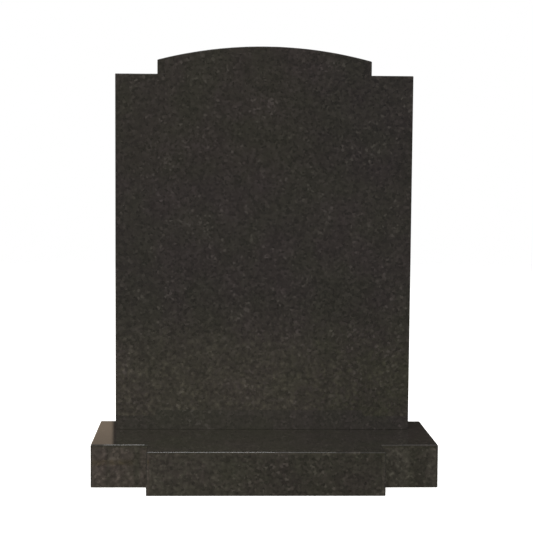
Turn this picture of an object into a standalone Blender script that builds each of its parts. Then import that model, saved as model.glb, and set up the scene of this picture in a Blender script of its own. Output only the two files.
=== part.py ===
# A blank upright headstone in two stones: a tablet with stepped shoulders and an arched top,
# standing on a base whose middle breaks forward. Metres, +Z up, the front faces -Y, and the
# origin is under the middle of the base.
import math

import bmesh
import bpy

# Base, over the break at its front
BASE_WIDTH = 0.600
BASE_DEPTH = 0.300
BASE_HEIGHT = 0.075
BREAK_WIDTH = 0.404
BREAK_PROJECTION = 0.065

# Tablet, from its bed up
TABLET_WIDTH = 0.533
TABLET_THICKNESS = 0.075
SHOULDER_HEIGHT = 0.640
SHOULDER_WIDTH = 0.075
SHOULDER_STEP = 0.025
ARCH_RISE = 0.025

# The ledge of base left showing behind the tablet, and the bed joint between the two stones
BACK_LEDGE = 0.0125
BED_JOINT = 0.0003

# Every outer edge above a bed is eased by an arris. Inner corners and bed edges stay square.
BASE_ARRIS = 0.0025
TABLET_ARRIS = 0.0012
ARRIS_SEGMENTS = 3
ARCH_SEGMENTS = 56
CORNER_ANGLE = math.radians(30)

# Polished dark granite: linear colour and roughness of each stone
TABLET_COLOUR = (0.032, 0.028, 0.025)
BASE_COLOUR = (0.036, 0.032, 0.027)
POLISHED_ROUGHNESS = 0.15


def clear_scene():
    for old in list(bpy.data.objects):
        bpy.data.objects.remove(old, do_unlink=True)


def new_collection(name):
    collection = bpy.data.collections.new(name)
    bpy.context.scene.collection.children.link(collection)
    return collection


def stone_material(name, colour):
    material = bpy.data.materials.new(name)
    material.use_nodes = True
    shader = material.node_tree.nodes["Principled BSDF"]
    shader.inputs["Base Color"].default_value = (*colour, 1)
    shader.inputs["Roughness"].default_value = POLISHED_ROUGHNESS
    shader.inputs["Metallic"].default_value = 0
    return material


def symmetric_outline(right, across=()):
    """The points of the right side, those across the middle, and the right side's mirror image."""
    return [*right, *across, *((-x, y) for x, y in reversed(right))]


def outline_curve(name, outline, thickness, collection):
    """The walls of a flat outline in local XY, drawn out by half their thickness each way."""
    curve = bpy.data.curves.new(name, "CURVE")
    curve.dimensions = "2D"
    curve.fill_mode = "NONE"
    curve.extrude = thickness / 2
    spline = curve.splines.new("POLY")
    spline.points.add(len(outline) - 1)
    for point, (x, y) in zip(spline.points, outline):
        point.co = (x, y, 0, 1)
    spline.use_cyclic_u = True
    obj = bpy.data.objects.new(name, curve)
    collection.objects.link(obj)
    return obj


def made_mesh(curve_object, collection):
    """The walls as a closed mesh. Each end is a single flat face, so that its arris runs true."""
    bpy.context.view_layer.update()
    graph = bpy.context.evaluated_depsgraph_get()
    mesh = bpy.data.meshes.new_from_object(curve_object.evaluated_get(graph))
    name = curve_object.name
    place = curve_object.matrix_world.copy()
    bpy.data.objects.remove(curve_object, do_unlink=True)
    shape = bmesh.new()
    shape.from_mesh(mesh)
    bmesh.ops.holes_fill(shape, edges=shape.edges)
    bmesh.ops.recalc_face_normals(shape, faces=shape.faces)
    shape.to_mesh(mesh)
    shape.free()
    obj = bpy.data.objects.new(name, mesh)
    obj.matrix_world = place
    collection.objects.link(obj)
    return obj


def ease_edges(obj, arris):
    """Gives an arris to the outer edges, and leaves inner corners and the bed's edges square."""
    turn = obj.matrix_world.to_3x3()
    obj.data.shade_smooth()
    shape = bmesh.new()
    shape.from_mesh(obj.data)
    weight = shape.edges.layers.float.new("bevel_weight_edge")
    for edge in shape.edges:
        corner = edge.calc_face_angle() > CORNER_ANGLE
        on_bed = any((turn @ face.normal).z < -math.cos(CORNER_ANGLE) for face in edge.link_faces)
        eased = corner and edge.is_convex and not on_bed
        edge[weight] = float(eased)
        edge.smooth = eased or not corner
    shape.to_mesh(obj.data)
    shape.free()
    bevel = obj.modifiers.new("Arris", "BEVEL")
    bevel.limit_method = "WEIGHT"
    bevel.width = arris
    bevel.segments = ARRIS_SEGMENTS
    bevel.harden_normals = True


def base_outline():
    """The plan of the base, centred on its overall depth."""
    front = -BASE_DEPTH / 2
    side_front = front + BREAK_PROJECTION
    right = [
        (BREAK_WIDTH / 2, front),
        (BREAK_WIDTH / 2, side_front),
        (BASE_WIDTH / 2, side_front),
        (BASE_WIDTH / 2, BASE_DEPTH / 2),
    ]
    return symmetric_outline(right)


def arch_points(half_span, springing, rise):
    """Points along a segmental arch, from its right springing over the crown to its left one."""
    radius = (half_span**2 + rise**2) / (2 * rise)
    centre = springing + rise - radius
    half_angle = math.asin(half_span / radius)
    angles = [half_angle * (1 - 2 * i / ARCH_SEGMENTS) for i in range(ARCH_SEGMENTS + 1)]
    return [(radius * math.sin(a), centre + radius * math.cos(a)) for a in angles]


def tablet_outline():
    """The face of the tablet, seen from the front, with its bed at zero."""
    half_width = TABLET_WIDTH / 2
    half_span = half_width - SHOULDER_WIDTH
    right = [
        (half_width, 0),
        (half_width, SHOULDER_HEIGHT),
        (half_span, SHOULDER_HEIGHT),
    ]
    return symmetric_outline(right, arch_points(half_span, SHOULDER_HEIGHT + SHOULDER_STEP, ARCH_RISE))


def make_base(collection):
    curve = outline_curve("base", base_outline(), BASE_HEIGHT, collection)
    curve.location.z = BASE_HEIGHT / 2
    base = made_mesh(curve, collection)
    ease_edges(base, BASE_ARRIS)
    base.data.materials.append(stone_material("base_granite", BASE_COLOUR))
    return base


def make_tablet(collection):
    curve = outline_curve("tablet", tablet_outline(), TABLET_THICKNESS, collection)
    curve.rotation_euler.x = math.radians(90)
    curve.location.y = BASE_DEPTH / 2 - BACK_LEDGE - TABLET_THICKNESS / 2
    curve.location.z = BASE_HEIGHT + BED_JOINT
    tablet = made_mesh(curve, collection)
    ease_edges(tablet, TABLET_ARRIS)
    tablet.data.materials.append(stone_material("tablet_granite", TABLET_COLOUR))
    return tablet


clear_scene()
headstone = new_collection("headstone")
make_base(headstone)
make_tablet(headstone)
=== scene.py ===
import math

import bmesh
import bpy
from mathutils import Matrix, Vector, noise


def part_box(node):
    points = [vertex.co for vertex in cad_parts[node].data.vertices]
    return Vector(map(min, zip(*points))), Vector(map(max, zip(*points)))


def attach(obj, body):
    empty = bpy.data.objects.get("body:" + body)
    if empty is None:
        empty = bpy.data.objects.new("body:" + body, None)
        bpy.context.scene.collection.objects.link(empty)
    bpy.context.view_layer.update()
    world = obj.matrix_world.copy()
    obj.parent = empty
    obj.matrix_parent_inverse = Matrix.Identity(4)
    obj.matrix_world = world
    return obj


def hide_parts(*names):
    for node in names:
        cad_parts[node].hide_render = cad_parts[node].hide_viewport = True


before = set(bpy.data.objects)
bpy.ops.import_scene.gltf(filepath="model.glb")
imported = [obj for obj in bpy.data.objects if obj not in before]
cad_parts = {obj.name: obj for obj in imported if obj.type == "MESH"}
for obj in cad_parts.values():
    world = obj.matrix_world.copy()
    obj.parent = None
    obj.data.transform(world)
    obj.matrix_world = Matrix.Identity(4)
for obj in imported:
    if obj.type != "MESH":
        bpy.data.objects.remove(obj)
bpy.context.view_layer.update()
print("frame loaded:", ", ".join(sorted(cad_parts)))

# Lengths are in metres unless a name says otherwise. The front of the headstone faces -Y.


# Helpers

def linear(hexColour):
    # sRGB hex to the linear values that the shaders work in
    channels = [int(hexColour[i:i + 2], 16) / 255 for i in (1, 3, 5)]
    return [c / 12.92 if c <= 0.04045 else ((c + 0.055) / 1.055) ** 2.4 for c in channels] + [1]


def addNode(tree, kind, settings=None, links=None):
    # a setting is a property of the node where it has one by that name, or else an input's value.
    # A Mix node's colours go in at 6 and 7 and out at 2, and its vectors in at 4 and 5 and out at 1.
    node = tree.nodes.new(kind)
    for name, value in (settings or {}).items():
        if isinstance(name, str) and hasattr(node, name):
            setattr(node, name, value)
        else:
            node.inputs[name].default_value = value
    for name, source in (links or {}).items():
        tree.links.new(source, node.inputs[name])
    return node


# Stone: a dark gabbro, sold as dark grey granite. Its crystals of pyroxene and feldspar lock
# together with no bedding, so the pattern is the same in every direction and on every face.

gabbro = {
    "crystalSize": 0.0044,  # mean width of a crystal
    "raggedness": 0.0018,  # how far a crystal's edge strays from straight
    "ragLength": 0.00572,  # from one stray of the edge to the next
    "grainSize": 0.0011,  # the small grains that each crystal is shot through with
    "grainContrast": 0.22,
    "minerals": [  # the share of the crystals that are darker, and the colour when polished
        (0.0, "#242220"),  # pyroxene, near-black
        (0.34, "#2a2725"),  # dark feldspar
        (0.72, "#2f2c29"),  # feldspar
        (0.93, "#34302e"),  # pale feldspar
        (0.985, "#393532"),  # flecks
        (1.0, "#403c39"),  # the brightest fleck
    ],
    "mean": "#2d2a28",  # colour of the whole, from a few steps away
    "cloudSize": 0.07,  # drift in the mix of minerals over a hand's width
    "cloudTip": 0.07,  # how far that tips each crystal towards the dark or the pale minerals
    "greenCloud": (0.98, 1.02, 0.95),  # tints of the drift from place to place
    "brownCloud": (1.03, 0.98, 1.04),
    "groundDust": "#8f8b82",
    "dustByMineral": (0.3, 1.7),  # feldspar grinds to a paler dust than pyroxene does
    "toothSize": 0.0015,  # spacing of the marks that the saw's grit leaves
    "ior": 1.55,  # feldspar 1.54, pyroxene 1.68
}

# What a noise texture's values mostly keep between, and the middle of that for a stronger drift
noiseSpan = {"From Min": 0.3, "From Max": 0.7}
driftSpan = {"From Min": 0.35, "From Max": 0.65}


def crystalPattern(tree, blockOffset):
    # crystals with ragged edges, the grains inside them, and slow clouds over the whole block
    place = addNode(tree, "ShaderNodeTexCoord").outputs["Object"]
    block = addNode(tree, "ShaderNodeVectorMath", {"operation": "ADD", 1: blockOffset}, {0: place})
    stray = addNode(tree, "ShaderNodeTexNoise", {
        "Scale": 1 / gabbro["ragLength"], "Detail": 2.0, "Roughness": 0.55,
    }, {"Vector": block.outputs[0]})
    centred = addNode(tree, "ShaderNodeVectorMath", {"operation": "SUBTRACT", 1: (0.5, 0.5, 0.5)},
                      {0: stray.outputs["Color"]})
    bent = addNode(tree, "ShaderNodeVectorMath", {
        "operation": "MULTIPLY_ADD", 1: [2 * gabbro["raggedness"]] * 3,
    }, {0: centred.outputs[0], 2: block.outputs[0]})
    crystals = addNode(tree, "ShaderNodeTexVoronoi", {"Scale": 1 / gabbro["crystalSize"]},
                       {"Vector": bent.outputs[0]})
    cell = addNode(tree, "ShaderNodeSeparateColor", links={"Color": crystals.outputs["Color"]})
    grain = addNode(tree, "ShaderNodeTexNoise", {
        "Scale": 1 / gabbro["grainSize"], "Detail": 2.0, "Roughness": 0.6,
    }, {"Vector": bent.outputs[0]})
    cloud = addNode(tree, "ShaderNodeTexNoise", {
        "Scale": 1 / gabbro["cloudSize"], "Detail": 3.0,
    }, {"Vector": block.outputs[0]})
    return block.outputs[0], cell, grain.outputs["Fac"], cloud


def gabbroFinish(name, stone, roughness, bleach=0.0, grit=0.0):
    # bleach is how far ground grains pale the surface, and grit is the height of its tooth
    material = bpy.data.materials.new(name)
    material.use_nodes = True
    tree = material.node_tree
    shader = tree.nodes["Principled BSDF"]
    block, cell, grain, cloud = crystalPattern(tree, stone["blockOffset"])

    def tinted(colour):
        return [channel * tint for channel, tint in zip(linear(colour), (*stone["tint"], 1))]

    tip = gabbro["cloudTip"]
    tipped = addNode(tree, "ShaderNodeMapRange", {**noiseSpan, "To Min": -tip, "To Max": tip},
                     {"Value": cloud.outputs["Fac"]})
    mixed = addNode(tree, "ShaderNodeMath", {"operation": "ADD"},
                    {0: tipped.outputs["Result"], 1: cell.outputs["Red"]})
    minerals = addNode(tree, "ShaderNodeValToRGB", links={"Fac": mixed.outputs[0]})
    marks = minerals.color_ramp.elements
    while len(marks) < len(gabbro["minerals"]):
        marks.new(1)
    for mark, (share, colour) in zip(marks, gabbro["minerals"]):
        mark.position = share
        mark.color = tinted(colour)
    contrasted = addNode(tree, "ShaderNodeMix", {
        "data_type": "RGBA", "clamp_factor": False, 0: stone["speckle"], 6: tinted(gabbro["mean"]),
    }, {7: minerals.outputs["Color"]})

    hue = addNode(tree, "ShaderNodeSeparateColor", links={"Color": cloud.outputs["Color"]})
    drift = addNode(tree, "ShaderNodeMapRange", driftSpan, {"Value": hue.outputs["Green"]})
    cloudTint = addNode(tree, "ShaderNodeMix", {
        "data_type": "VECTOR", 4: gabbro["greenCloud"], 5: gabbro["brownCloud"],
    }, {0: drift.outputs["Result"]})
    clouded = addNode(tree, "ShaderNodeVectorMath", {"operation": "MULTIPLY"},
                      {0: contrasted.outputs[2], 1: cloudTint.outputs[1]})
    speckle = addNode(tree, "ShaderNodeMapRange", {
        **noiseSpan, "To Min": 1 - gabbro["grainContrast"], "To Max": 1 + gabbro["grainContrast"],
    }, {"Value": grain})
    grained = addNode(tree, "ShaderNodeVectorMath", {"operation": "SCALE"},
                      {0: clouded.outputs[0], "Scale": speckle.outputs["Result"]})

    onPyroxene, onFeldspar = gabbro["dustByMineral"]
    dusted = addNode(tree, "ShaderNodeMapRange", {
        "To Min": onPyroxene * bleach, "To Max": onFeldspar * bleach,
    }, {"Value": mixed.outputs[0]})
    ground = addNode(tree, "ShaderNodeMix", {"data_type": "RGBA", 7: linear(gabbro["groundDust"])},
                     {0: dusted.outputs["Result"], 6: grained.outputs[0]})
    tree.links.new(ground.outputs[2], shader.inputs["Base Color"])

    smoothest, roughest = roughness
    gloss = addNode(tree, "ShaderNodeMapRange", {"To Min": smoothest, "To Max": roughest},
                    {"Value": cell.outputs["Green"]})
    tree.links.new(gloss.outputs["Result"], shader.inputs["Roughness"])
    shader.inputs["IOR"].default_value = gabbro["ior"]
    if grit:
        tooth = addNode(tree, "ShaderNodeTexNoise", {"Scale": 1 / gabbro["toothSize"], "Detail": 3.0},
                        {"Vector": block})
        relief = addNode(tree, "ShaderNodeBump", {"Distance": grit}, {"Height": tooth.outputs["Fac"]})
        tree.links.new(relief.outputs["Normal"], shader.inputs["Normal"])
    return material


polishedFace, honedFace, sawnFace = range(3)  # places in a stone's list of finishes


def stoneFinishes(name, stone):
    return [
        # buffed to a mirror: the crystals look dark and deep, under the mirrored surroundings
        gabbroFinish(name + "PolishedGabbro", stone, roughness=(0.01, 0.03)),
        # rubbed flat with fine grit: a dull sheen, and a little paler where the grains are ground
        gabbroFinish(name + "HonedGabbro", stone, roughness=(0.38, 0.46), bleach=0.12),
        # as the saw left it: matt, pale with the dust of ground grains, and slightly uneven
        gabbroFinish(name + "SawnGabbro", stone, roughness=(0.7, 0.8), bleach=0.3, grit=0.0006),
    ]


# Shapes

arris = {
    "segments": 5,
    "pitch": 0.006,  # length of one stroke of the hand block that rubbed it
    "wander": 0.024,  # how far those strokes stray, as a share of its width
    "cornerAngle": math.radians(30),  # faces that meet at more than this have an edge to rub
    "creaseAngle": math.radians(40),  # and at more than this a crease to the eye
}
squareOn = 0.9  # how much of a face's normal lies along an axis, where it faces that way


def split(points, pitch):
    # more points along the straight sides of a closed outline
    denser = []
    for (x0, y0), (x1, y1) in zip(points, points[1:] + points[:1]):
        steps = max(1, round(math.hypot(x1 - x0, y1 - y0) / pitch))
        denser += [(x0 + (x1 - x0) * i / steps, y0 + (y1 - y0) * i / steps) for i in range(steps)]
    return denser


def withMirror(right, across=()):
    # an outline from its right side, the points across the middle, and the right side's mirror image
    return [*right, *across, *((-x, y) for x, y in reversed(right))]


def rubArrises(shape, width):
    # eases every outer edge above the bed, and leaves inner corners and bed edges square
    def outer(edge):
        onBed = any(face.normal.z < -squareOn for face in edge.link_faces)
        return edge.is_convex and edge.calc_face_angle() > arris["cornerAngle"] and not onBed

    eased = bmesh.ops.bevel(
        shape, geom=[edge for edge in shape.edges if outer(edge)], affect="EDGES", offset=width,
        segments=arris["segments"], profile=0.5, material=polishedFace,
    )
    shape.normal_update()
    strip = set(eased["faces"])
    for vert in {vert for face in strip for vert in face.verts}:
        if all(face in strip for face in vert.link_faces):
            depth = arris["wander"] * width * (0.5 + 0.5 * noise.noise(vert.co / arris["pitch"]))
            vert.co -= vert.normal * depth


def cutStone(name, outline, depth, place, arrisWidth, finishes):
    # a flat outline in local XY, cut through a slab of the given depth along local Z
    shape = bmesh.new()
    layers = round(depth / arris["pitch"])
    rings = [
        [shape.verts.new((x, y, depth * (layer / layers - 0.5))) for x, y in outline]
        for layer in range(layers + 1)
    ]
    shape.faces.new(rings[0][::-1])
    shape.faces.new(rings[-1])
    for lower, upper in zip(rings, rings[1:]):
        for i in range(len(outline)):
            j = (i + 1) % len(outline)
            shape.faces.new((lower[i], lower[j], upper[j], upper[i]))
    bmesh.ops.transform(shape, matrix=place, verts=shape.verts)
    bmesh.ops.recalc_face_normals(shape, faces=shape.faces)
    for face in shape.faces:
        below, behind = face.normal.z < -squareOn, face.normal.y > squareOn
        face.material_index = sawnFace if below else honedFace if behind else polishedFace
        face.smooth = True
    rubArrises(shape, arrisWidth)
    mesh = bpy.data.meshes.new(name)
    shape.to_mesh(mesh)
    shape.free()
    for finish in finishes:
        mesh.materials.append(finish)
    stone = bpy.data.objects.new(name, mesh)
    bpy.context.scene.collection.objects.link(stone)
    stone.modifiers.new("flatFaces", "WEIGHTED_NORMAL").keep_sharp = True
    mesh.set_sharp_from_angle(angle=arris["creaseAngle"])
    return stone


# Base: one low block, whose middle breaks forward at the front

base = {
    "breakWidth": 0.404,
    "breakProjection": 0.065,
    "arris": 0.0025,
    "blockOffset": (0.37, -0.21, 0.55),  # where in the quarried block it was cut
    "speckle": 1.05,  # how far its crystals stand out, against 1 for the gabbro above
    "tint": (1.0, 1.0, 0.93),
}


def makeBase():
    low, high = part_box("base")
    halfBreak = base["breakWidth"] / 2
    sideFront = low.y + base["breakProjection"]
    right = [(halfBreak, low.y), (halfBreak, sideFront), (high.x, sideFront), (high.x, high.y)]
    place = Matrix.Translation((0, 0, (low.z + high.z) / 2))
    stone = cutStone("base_stone", split(withMirror(right), arris["pitch"]), high.z - low.z, place,
                     base["arris"], stoneFinishes("base", base))
    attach(stone, "root")
    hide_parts("base")


# Tablet: an upright slab, with a square step at each shoulder and a segmental arch between

tablet = {
    "shoulderWidth": 0.075,
    "shoulderStep": 0.025,
    "archRise": 0.025,
    "arris": 0.0012,
    "blockOffset": (0.0, 0.0, 0.0),
    "speckle": 0.95,
    "tint": (1.0, 1.0, 1.0),
}


def makeTablet():
    low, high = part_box("tablet")
    shoulder = high.z - tablet["archRise"] - tablet["shoulderStep"]
    halfSpan = high.x - tablet["shoulderWidth"]
    radius = (halfSpan ** 2 + tablet["archRise"] ** 2) / (2 * tablet["archRise"])
    halfAngle = math.asin(halfSpan / radius)
    steps = round(2 * halfAngle * radius / arris["pitch"])
    angles = [halfAngle * (1 - 2 * i / steps) for i in range(steps + 1)]
    arch = [(radius * math.sin(a), high.z - radius + radius * math.cos(a)) for a in angles]
    right = [(high.x, low.z), (high.x, shoulder), (halfSpan, shoulder)]
    place = Matrix.Translation((0, (low.y + high.y) / 2, 0)) @ Matrix.Rotation(math.radians(90), 4, "X")
    stone = cutStone("tablet_stone", split(withMirror(right, arch), arris["pitch"]), high.y - low.y, place,
                     tablet["arris"], stoneFinishes("tablet", tablet))
    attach(stone, "root")
    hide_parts("tablet")


makeBase()
makeTablet()
print("stones cut")


# Studio: a pale floor that fades into a white background, and soft light

studio = {
    "floorRadius": 6.0,
    "floorSides": 128,
    "floorFade": (3.0, 5.88),  # how far out it starts to fade, and where it is gone
    "floorColour": "#fbfaf8",
    "floorRoughness": 0.9,
    "glow": 0.7,  # the floor is lit from below as well, as a light table is
    "background": "#ffffff",
}


def makeFloor():
    shape = bmesh.new()
    bmesh.ops.create_circle(shape, cap_ends=True, radius=studio["floorRadius"], segments=studio["floorSides"])
    mesh = bpy.data.meshes.new("floor")
    shape.to_mesh(mesh)
    shape.free()
    # opal acrylic over lamps: matt, and so evenly white that hardly a shadow shows on it
    material = bpy.data.materials.new("opalAcrylic")
    material.use_nodes = True
    tree = material.node_tree
    shader = tree.nodes["Principled BSDF"]
    shader.inputs["Base Color"].default_value = linear(studio["floorColour"])
    shader.inputs["Roughness"].default_value = studio["floorRoughness"]
    shader.inputs["Specular IOR Level"].default_value = 0.0
    shader.inputs["Emission Color"].default_value = linear(studio["floorColour"])
    shader.inputs["Emission Strength"].default_value = studio["glow"]
    spot = addNode(tree, "ShaderNodeTexCoord").outputs["Object"]
    distance = addNode(tree, "ShaderNodeVectorMath", {"operation": "LENGTH"}, {0: spot})
    start, end = studio["floorFade"]
    fade = addNode(tree, "ShaderNodeMapRange", {
        "interpolation_type": "SMOOTHSTEP", "From Min": start, "From Max": end,
    }, {"Value": distance.outputs["Value"]})
    clear = addNode(tree, "ShaderNodeBsdfTransparent")
    faded = addNode(tree, "ShaderNodeMixShader", links={
        0: fade.outputs["Result"], 1: shader.outputs["BSDF"], 2: clear.outputs["BSDF"],
    })
    tree.links.new(faded.outputs["Shader"], tree.nodes["Material Output"].inputs["Surface"])
    mesh.materials.append(material)
    floor = bpy.data.objects.new("floor", mesh)
    bpy.context.scene.collection.objects.link(floor)
    # the polish and the matt faces get the surroundings instead, which are darker below
    floor.visible_glossy = False
    floor.visible_diffuse = False


# Surroundings: plain tones by the direction that is looked in, the heading. A tone gives way to
# the next at an edge: an axis of the heading, and the places on it where that starts and ends.

surroundings = {
    # mirrored straight ahead of the polish
    "ahead": [("Z", -0.42, -0.26), ("X", -0.4, -0.22), ("X", 0.4, 0.22)],
    "toTheRight": ("X", 0.026, 0.109),
    "nearGround": ("#a7a086", "#838464"),  # to the left and to the right
    "above": [  # what takes over from it going up: the heights, and its tones to the left and right
        (-0.15, -0.085, "#595950", "#595950"),  # ground further off
        (-0.022, 0.003, "#545542", "#38383f"),  # hedge
        (0.08, 0.15, "#d0ceaf", "#a6a695"),  # low sky
        (0.15, 0.8, "#bcbcbc", "#bcbcbc"),  # high sky
    ],
    # close by on the ground, which only the base mirrors
    "closeBy": ("Z", -0.172, -0.189),
    "bedding": ("#a4a08b", "#717360"),  # the gravel that slabs lie in, to the left and to the right
    "beddingToTheRight": ("X", -0.04, 0.05),
    "slabs": [  # where each starts and ends from left to right, and its tone
        (-0.2, -0.071, "#dbc7b8"),
        (-0.069, -0.053, "#c5b3a6"),
        (-0.049, -0.043, "#c5b3a6"),
        (0.114, 0.131, "#b1ac99"),
        (0.144, 0.2, "#b1ac99"),
    ],
    "slabEdge": 0.001,  # half the width of its soft edge
    "rust": (0.92, 0.87, 0.58),  # stains one joint across the slabs, to the left
    "rustyJoint": [("X", -0.05, -0.056), ("Z", -0.2028, -0.202), ("Z", -0.199, -0.1998)],
    # unevenness of all the ground
    "gravelSize": 0.0021,  # across a heading
    "gravelSpan": {"From Min": 0.42, "From Max": 0.8},  # pale stones stand out of darker ground
    "gravelShade": (-0.47, 1.93),  # of that ground, and of the stones
    "onTheGround": ("Z", -0.02, -0.1),
    # mirrored to the sides and steeply below
    "groundAside": "#86847c",
    "skyAside": "#adadaa",
    "horizonAside": ("Z", -0.1, 0.0),
    # mirrored behind: dark, with a pale wall to the left
    "behind": [("Y", 0.2, 0.6), ("Z", 0.7, 0.3)],
    "darkBehind": "#34302d",
    "wall": "#a69582",
    "wallTop": "#968676",
    "wallToTheLeft": ("X", -0.0657, -0.0687),
    "wallTopFrom": ("Z", 0.176, 0.192),
    # what lights the matt faces: the sky in front and behind, over the ground
    "sky": "#959595",
    "skyBehind": "#f3f3f3",
    "ground": "#95938e",
    "towardsTheBack": ("Y", -0.1, 0.1),
    "horizon": ("Z", -0.02, 0.02),
}


def makeSurroundings():
    # the camera sees plain white, sky and ground light the matt faces, and what lies ahead, aside
    # and behind shows in glossy reflections
    world = bpy.data.worlds.new("surroundings")
    bpy.context.scene.world = world
    world.use_nodes = True
    tree = world.node_tree
    direction = addNode(tree, "ShaderNodeTexCoord").outputs["Generated"]
    heading = addNode(tree, "ShaderNodeSeparateXYZ", links={"Vector": direction})

    def past(edges):
        # 1 where the heading is past every one of the edges, and 0 where it is short of one
        amount = None
        for axis, start, end in edges:
            step = addNode(tree, "ShaderNodeMapRange", {
                "interpolation_type": "SMOOTHSTEP", "From Min": start, "From Max": end,
            }, {"Value": heading.outputs[axis]}).outputs["Result"]
            if amount is not None:
                step = addNode(tree, "ShaderNodeMath", {"operation": "MULTIPLY"},
                               {0: amount, 1: step}).outputs[0]
            amount = step
        return amount

    def giveWay(first, second, *edges):
        # one tone up to the edges and another past them, each a hex colour or a node's output
        settings, links = {"data_type": "RGBA"}, {0: past(edges)}
        for place, tone in ((6, first), (7, second)):
            if isinstance(tone, str):
                settings[place] = linear(tone)
            else:
                links[place] = tone
        return addNode(tree, "ShaderNodeMix", settings, links).outputs[2]

    def upwards(side):
        # the tones ahead, from the near ground up to the sky
        tone = surroundings["nearGround"][side]
        for start, end, *tones in surroundings["above"]:
            tone = giveWay(tone, tones[side], ("Z", start, end))
        return tone

    inFront = giveWay(upwards(0), upwards(1), surroundings["toTheRight"])
    paving = giveWay(*surroundings["bedding"], surroundings["beddingToTheRight"])
    soft = surroundings["slabEdge"]
    for start, end, tone in surroundings["slabs"]:
        paving = giveWay(paving, tone, ("X", start - soft, start + soft), ("X", end + soft, end - soft))
    rusted = addNode(tree, "ShaderNodeVectorMath", {"operation": "MULTIPLY", 1: surroundings["rust"]},
                     {0: paving}).outputs[0]
    paving = giveWay(paving, rusted, *surroundings["rustyJoint"])
    inFront = giveWay(inFront, paving, surroundings["closeBy"])

    gravel = addNode(tree, "ShaderNodeTexNoise", {"Scale": 1 / surroundings["gravelSize"], "Detail": 1.0},
                     {"Vector": direction})
    between, stones = surroundings["gravelShade"]
    uneven = addNode(tree, "ShaderNodeMapRange", {
        "interpolation_type": "SMOOTHSTEP",
        **surroundings["gravelSpan"], "To Min": between, "To Max": stones,
    }, {"Value": gravel.outputs["Fac"]})
    shade = addNode(tree, "ShaderNodeMath", {"operation": "MULTIPLY_ADD", 2: 1.0},
                    {0: uneven.outputs["Result"], 1: past([surroundings["onTheGround"]])})
    inFront = addNode(tree, "ShaderNodeVectorMath", {"operation": "SCALE"},
                      {0: inFront, "Scale": shade.outputs[0]}).outputs[0]

    aside = giveWay(surroundings["groundAside"], surroundings["skyAside"], surroundings["horizonAside"])
    inFront = giveWay(aside, inFront, *surroundings["ahead"])
    wall = giveWay(surroundings["wall"], surroundings["wallTop"], surroundings["wallTopFrom"])
    behind = giveWay(surroundings["darkBehind"], wall, surroundings["wallToTheLeft"])
    mirrored = giveWay(inFront, behind, *surroundings["behind"])
    sky = giveWay(surroundings["sky"], surroundings["skyBehind"], surroundings["towardsTheBack"])
    lighting = giveWay(surroundings["ground"], sky, surroundings["horizon"])

    # light that has met a matt face is no longer a mirror image, even if it meets a polished one next
    path = addNode(tree, "ShaderNodeLightPath")
    scattered = addNode(tree, "ShaderNodeMath", {"operation": "GREATER_THAN", 1: 0.5},
                        {0: path.outputs["Diffuse Depth"]})
    onPolish = addNode(tree, "ShaderNodeMix", {"data_type": "RGBA"},
                       {0: scattered.outputs[0], 6: mirrored, 7: lighting})
    onStone = addNode(tree, "ShaderNodeMix", {"data_type": "RGBA"},
                      {0: path.outputs["Is Glossy Ray"], 6: lighting, 7: onPolish.outputs[2]})
    seen = addNode(tree, "ShaderNodeMix", {"data_type": "RGBA", 7: linear(studio["background"])},
                   {0: path.outputs["Is Camera Ray"], 6: onStone.outputs[2]})
    tree.links.new(seen.outputs[2], tree.nodes["Background"].inputs["Color"])


softboxes = {
    # the overhead boxes are what the front arrises glint with, and the dimmer one is to the right
    "overhead": {
        "at": (-0.165, -0.3, 2.2), "aim": (-0.165, 0.0, 0.0), "size": (0.54, 0.5), "watts": 10,
        "mirrored": True,
    },
    "overheadRight": {
        "at": (0.2, -0.3, 2.2), "aim": (0.2, 0.0, 0.0), "size": (0.19, 0.5), "watts": 1.3,
        "mirrored": True,
    },
    "key": {
        "at": (-0.7, -3.5, 1.8), "aim": (0.0, 0.0, 0.3), "size": (2.4, 1.2), "watts": 128,
        "mirrored": False,
    },
}


def makeSoftboxes():
    for name, box in softboxes.items():
        light = bpy.data.lights.new(name, "AREA")
        light.shape = "RECTANGLE"
        light.size, light.size_y = box["size"]
        light.energy = box["watts"]
        lamp = bpy.data.objects.new(name, light)
        bpy.context.scene.collection.objects.link(lamp)
        lamp.location = box["at"]
        lamp.rotation_euler = (Vector(box["aim"]) - Vector(box["at"])).to_track_quat("-Z", "Y").to_euler()
        lamp.visible_camera = False
        lamp.visible_glossy = box["mirrored"]


makeFloor()
makeSurroundings()
makeSoftboxes()
bpy.context.scene.view_settings.view_transform = "Standard"
print("studio lit")


# Camera, at the photograph's viewing angle

viewpoint = {
    "eye": (-0.0891, -2.6015, 0.561),
    "turnDegrees": 2.04,  # to the right of straight ahead
    "pitchDegrees": -5.028,
    "rollDegrees": 0.424,
    "lensMillimetres": 100.0,
    "sensorMillimetres": 36.0,
    "shift": (0.0, 0.0475),  # the photograph is cropped off centre
    "sight": 100,  # how far the camera sees
}


def makeCamera():
    lens = bpy.data.cameras.new("camera")
    lens.lens = viewpoint["lensMillimetres"]
    lens.sensor_width = viewpoint["sensorMillimetres"]
    lens.shift_x, lens.shift_y = viewpoint["shift"]
    lens.clip_end = viewpoint["sight"]
    camera = bpy.data.objects.new("camera", lens)
    bpy.context.scene.collection.objects.link(camera)
    camera.matrix_world = (
        Matrix.Translation(viewpoint["eye"])
        @ Matrix.Rotation(-math.radians(viewpoint["turnDegrees"]), 4, "Z")
        @ Matrix.Rotation(math.radians(90 + viewpoint["pitchDegrees"]), 4, "X")
        @ Matrix.Rotation(math.radians(viewpoint["rollDegrees"]), 4, "Z")
    )
    bpy.context.scene.camera = camera


makeCamera()
print("camera placed")
